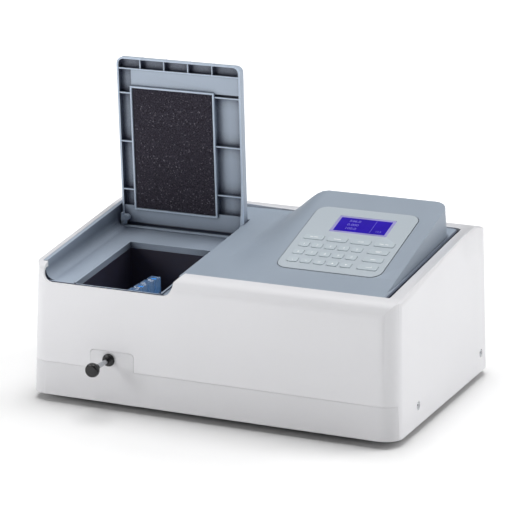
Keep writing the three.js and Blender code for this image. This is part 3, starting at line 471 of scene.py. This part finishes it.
# ---------- foam pad ----------
def foam_pad():
    """The pad in the lid: a soft slab with an uneven open face, whose edges sink towards the frame."""
    axes = lid_frame()
    low, high = local_box("lid_foam", axes)
    rest = low.z + 0.75 * MM
    step = 1.1 * MM
    columns = round((high.x - low.x) / step)
    rows = round((high.y - low.y) / step)
    shape = bmesh.new()

    def face_point(i, j):
        x = low.x + (high.x - low.x) * i / columns
        y = low.y + (high.y - low.y) * j / rows
        edge = min(x - low.x, high.x - x, y - low.y, high.y - y)
        sunk = 1.1 * MM * math.exp(-edge / (1.6 * MM))
        swell = 0.5 * MM * field.noise(Vector((x, y, 0)) / (22 * MM))
        cells = 0.45 * MM * field.noise(Vector((x, y, 3)) / (2.3 * MM))
        pores = 0.3 * MM * field.noise(Vector((x, y, 7)) / (1.3 * MM))
        return (x, y, rest + sunk + swell + cells + pores)

    grid = [[shape.verts.new(face_point(i, j)) for j in range(rows + 1)] for i in range(columns + 1)]
    for i in range(columns):
        for j in range(rows):
            shape.faces.new((grid[i][j], grid[i + 1][j], grid[i + 1][j + 1], grid[i][j + 1]))
    rim = ([grid[i][0] for i in range(columns)] + [grid[columns][j] for j in range(rows)]
           + [grid[i][rows] for i in range(columns, 0, -1)] + [grid[0][j] for j in range(rows, 0, -1)])
    back = [shape.verts.new((vertex.co.x, vertex.co.y, high.z)) for vertex in rim]
    for i in range(len(rim)):
        j = (i + 1) % len(rim)
        shape.faces.new((rim[i], rim[j], back[j], back[i]))
    shape.faces.new(back)
    pad = add_piece("foam_pad", shape, "lid", looks["black_foam"], axes)
    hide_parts("lid_foam")


# ---------- cuvettes ----------
def cuvette(number):
    """A thin-walled square cell with rounded corners, and the blue sample inside it."""
    node = f"cuvette_{number}"
    low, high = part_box(node)
    wall = 1.25 * MM
    corner = 0.9 * MM
    rim = 0.2 * MM
    foot = 0.3 * MM
    bottom = low.z + 2.2 * MM
    shape = bmesh.new()

    def ring(inset, height, radius):
        near = (low.x + inset, low.y + inset)
        far = (high.x - inset, high.y - inset)
        return [(x, y, height) for x, y in round_outline(near, far, radius, 4)]

    outside = [ring(foot, low.z, corner), ring(0, low.z + foot, corner), ring(0, high.z - rim, corner)]
    lip = [ring(rim, high.z, corner), ring(wall - rim, high.z, corner * 0.7)]
    hollow = [ring(wall, high.z - rim, corner * 0.6), ring(wall, bottom, corner * 0.6)]
    loft(shape, outside + lip + hollow)
    cell = add_piece(f"cuvette_{number}_glass", shape, "cell_changer", looks["cuvette_glass"])
    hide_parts(node)
    level = high.z - (2.4 + 1.2 * (number % 2)) * MM
    fill = bmesh.new()
    inside = wall + 0.06 * MM
    dip = 0.35 * MM
    loft(fill, [ring(inside, bottom + 0.1 * MM, corner * 0.5), ring(inside, level, corner * 0.5),
                ring(inside + 0.5 * MM, level - dip, corner * 0.5)])
    add_piece(f"cuvette_{number}_sample", fill, "cell_changer", sample_blue)


# ---------- display ----------
def display():
    """The back-lit panel in its pale border, with a divider and generic readings."""
    axes = console_frame()
    low, high = local_box("lcd_window", axes)
    border = bmesh.new()
    border_top = high.z - 0.25 * MM
    slab(border, low, (high.x, high.y, border_top), radius=1.2 * MM, soft=0.15 * MM)
    pane = add_piece("display_border", border, "casing", display_border, axes)
    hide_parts("lcd_window")
    inset = 3.3 * MM
    left = low.x + inset
    right = high.x - inset
    bottom = low.y + inset
    top = high.y - inset
    face = high.z - 0.1 * MM
    screen = bmesh.new()
    slab(screen, (left, bottom, low.z + 0.3 * MM), (right, top, face), radius=0.5 * MM, soft=0.1 * MM)
    add_piece("display_screen", screen, "casing", looks["display_glass"], axes)
    divider = left + 0.7 * (right - left)
    half = 0.2 * MM
    gap = 1 * MM
    line = round_outline((divider - half, bottom + gap), (divider + half, top - gap), half / 2, 1)
    marks = bmesh.new()
    add_polygon(marks, line, face + INK / 2, face + INK / 2 + 2 * INK)
    add_piece("display_divider", marks, "casing", display_text, axes)
    large = 6.4 * MM
    small = 4.4 * MM
    readings = [("546.0", large, 0.3, 0.77), ("0.000", large, 0.3, 0.5), ("100.0", large, 0.3, 0.23),
                ("12.5", small, 0.85, 0.2)]
    for index, (text, size, across, up) in enumerate(readings):
        digits = lettering(text, size)
        place = Vector((left + across * (right - left), bottom + up * (top - bottom), face + 2 * INK))
        bmesh.ops.translate(digits, verts=digits.verts, vec=place)
        add_piece(f"display_reading_{index + 1}", digits, "casing", display_text, axes, smooth=False)


# ---------- key legends ----------
def arrow(direction):
    """A printed triangle that points up (1) or down (-1)."""
    shape = bmesh.new()
    points = [(-1.7 * MM, -1.1 * MM), (1.7 * MM, -1.1 * MM), (0, 1.4 * MM)]
    add_polygon(shape, [(x, y * direction) for x, y in points], -INK, INK)
    return shape


def bars(*spans):
    """Short printed bars, each given by its centre, width and height in millimetres."""
    shape = bmesh.new()
    for x, y, width, height in spans:
        low = ((x - width / 2) * MM, (y - height / 2) * MM)
        high = ((x + width / 2) * MM, (y + height / 2) * MM)
        add_polygon(shape, round_outline(low, high, min(width, height) * 0.3 * MM, 2), -INK, INK)
    return shape


def legends():
    """Generic marks printed on the keys: digits, arrows, signs and plain bars."""
    axes = console_frame()
    lift = 0.03 * MM
    marks = {f"key_{digit}": lettering(str(digit), 5.2 * MM) for digit in range(10)}
    marks["key_zero"] = lettering("0.00", 4.2 * MM)
    marks["key_up"] = arrow(1)
    marks["key_down"] = arrow(-1)
    marks["key_point"] = bars((0, -1, 1.1, 1.1))
    marks["key_minus"] = bars((0, 0, 3, 0.7))
    marks["key_clear"] = bars((0, 0.9, 3.2, 0.6), (0, -0.9, 3.2, 0.6))
    marks["key_mode"] = bars((-3, 0, 4, 1.2), (2.5, 0, 5, 1.2))
    marks["key_setup"] = bars((0, 0, 9, 1.2))
    marks["key_measure"] = bars((-3.5, 0, 5, 1.2), (3, 0, 4, 1.2))
    marks["key_print"] = bars((0, 0.9, 8, 0.8), (0, -0.9, 5, 0.8))
    marks["key_escape"] = bars((0, 0, 6.5, 1.2))
    marks["key_enter"] = bars((1, 0, 7, 0.8), (4.2, 1, 0.8, 2.6))
    for node, shape in marks.items():
        low, high = local_box(node, axes)
        place = Vector(((low.x + high.x) / 2, (low.y + high.y) / 2, high.z + lift))
        bmesh.ops.translate(shape, verts=shape.verts, vec=place)
        add_piece(node.replace("key_", "legend_"), shape, node + "_cap", print_white, axes, smooth=False)


for name in nodes:
    finish_cad(name)
foam_pad()
cell_count = sum(name.startswith("cuvette_") for name in nodes)
for cell_number in range(1, cell_count + 1):
    cuvette(cell_number)
display()
legends()


# ---------- studio ----------
FLOOR = {"half_width": 12, "glow": 0.35, "from": 0.2, "to": 0.6}


def floor():
    """A pale floor that glows a little away from the object, so that it runs out into plain white."""
    mesh = bpy.data.meshes.new("floor")
    shape = bmesh.new()
    bmesh.ops.create_grid(shape, x_segments=4, y_segments=4, size=FLOOR["half_width"])
    shape.to_mesh(mesh)
    shape.free()
    ground = bpy.data.objects.new("floor", mesh)
    bpy.context.scene.collection.objects.link(ground)
    material, tree, shader = new_material("studio_floor")
    shader.inputs["Base Color"].default_value = (0.92, 0.92, 0.92, 1)
    shader.inputs["Roughness"].default_value = 0.7
    place = tree.nodes.new("ShaderNodeTexCoord")
    reach = tree.nodes.new("ShaderNodeVectorMath")
    reach.operation = "LENGTH"
    tree.links.new(place.outputs["Object"], reach.inputs[0])
    glow = spread(tree, reach.outputs["Value"], 0.0, FLOOR["glow"], FLOOR["from"], FLOOR["to"])
    shader.inputs["Emission Color"].default_value = (1, 1, 1, 1)
    tree.links.new(glow, shader.inputs["Emission Strength"])
    mesh.materials.append(material)


def sun(name, direction, strength, width):
    """A broad soft light that shines along direction and is width degrees across."""
    light = bpy.data.lights.new(name, "SUN")
    light.energy = strength
    light.angle = math.radians(width)
    lamp = bpy.data.objects.new(name, light)
    lamp.rotation_euler = Vector(direction).to_track_quat("-Z", "Y").to_euler()
    bpy.context.scene.collection.objects.link(lamp)


def softbox(name, place, aim, power, size):
    """A square lamp that stands in one place and faces another."""
    light = bpy.data.lights.new(name, "AREA")
    light.energy = power
    light.size = size
    lamp = bpy.data.objects.new(name, light)
    lamp.location = place
    lamp.rotation_euler = (Vector(aim) - Vector(place)).to_track_quat("-Z", "Y").to_euler()
    bpy.context.scene.collection.objects.link(lamp)


def studio():
    """A white room: a floor, a faint sky, two broad suns and a softbox at the left front."""
    floor()
    world = bpy.data.worlds.new("studio")
    world.use_nodes = True
    background = world.node_tree.nodes["Background"]
    background.inputs["Color"].default_value = (1, 1, 1, 1)
    background.inputs["Strength"].default_value = 0.15
    bpy.context.scene.world = world
    sun("right_rear", direction=(-0.62, -0.5, -0.5), strength=0.92, width=35)
    sun("overhead", direction=(0, -0.15, -1), strength=2.05, width=40)
    softbox("left_front", place=(-0.75, -0.95, 0.45), aim=(0, 0, 0.12), power=3.1, size=0.4)
    bpy.context.scene.view_settings.view_transform = "Standard"


VIEW = {"azimuth": 24.6, "elevation": 16.22, "roll": -0.54, "distance": 3.056, "lens": 177.48,
        "sensor": 36, "aim": (0, 19.5, 100), "shift_right": 2.289, "shift_up": 45.876}


def camera():
    """A long lens from the front right, aimed at the casing's middle and shifted in its own picture."""
    azimuth = math.radians(VIEW["azimuth"])
    elevation = math.radians(VIEW["elevation"])
    roll = math.radians(VIEW["roll"])
    back = Vector((math.sin(azimuth) * math.cos(elevation), -math.cos(azimuth) * math.cos(elevation),
                   math.sin(elevation)))
    level = Vector((math.cos(azimuth), math.sin(azimuth), 0))
    upright = back.cross(level)
    right = level * math.cos(roll) + upright * math.sin(roll)
    up = upright * math.cos(roll) - level * math.sin(roll)
    shift = right * VIEW["shift_right"] + up * VIEW["shift_up"]
    aim = (Vector(VIEW["aim"]) + shift) * MM
    data = bpy.data.cameras.new("camera")
    data.lens = VIEW["lens"]
    data.sensor_width = VIEW["sensor"]
    data.sensor_fit = "HORIZONTAL"
    data.clip_start = 0.1
    data.clip_end = 60
    view = bpy.data.objects.new("camera", data)
    turned = Matrix((right, up, back)).transposed().to_4x4()
    view.matrix_world = Matrix.Translation(aim + back * VIEW["distance"]) @ turned
    bpy.context.scene.collection.objects.link(view)
    bpy.context.scene.camera = view


studio()
camera()
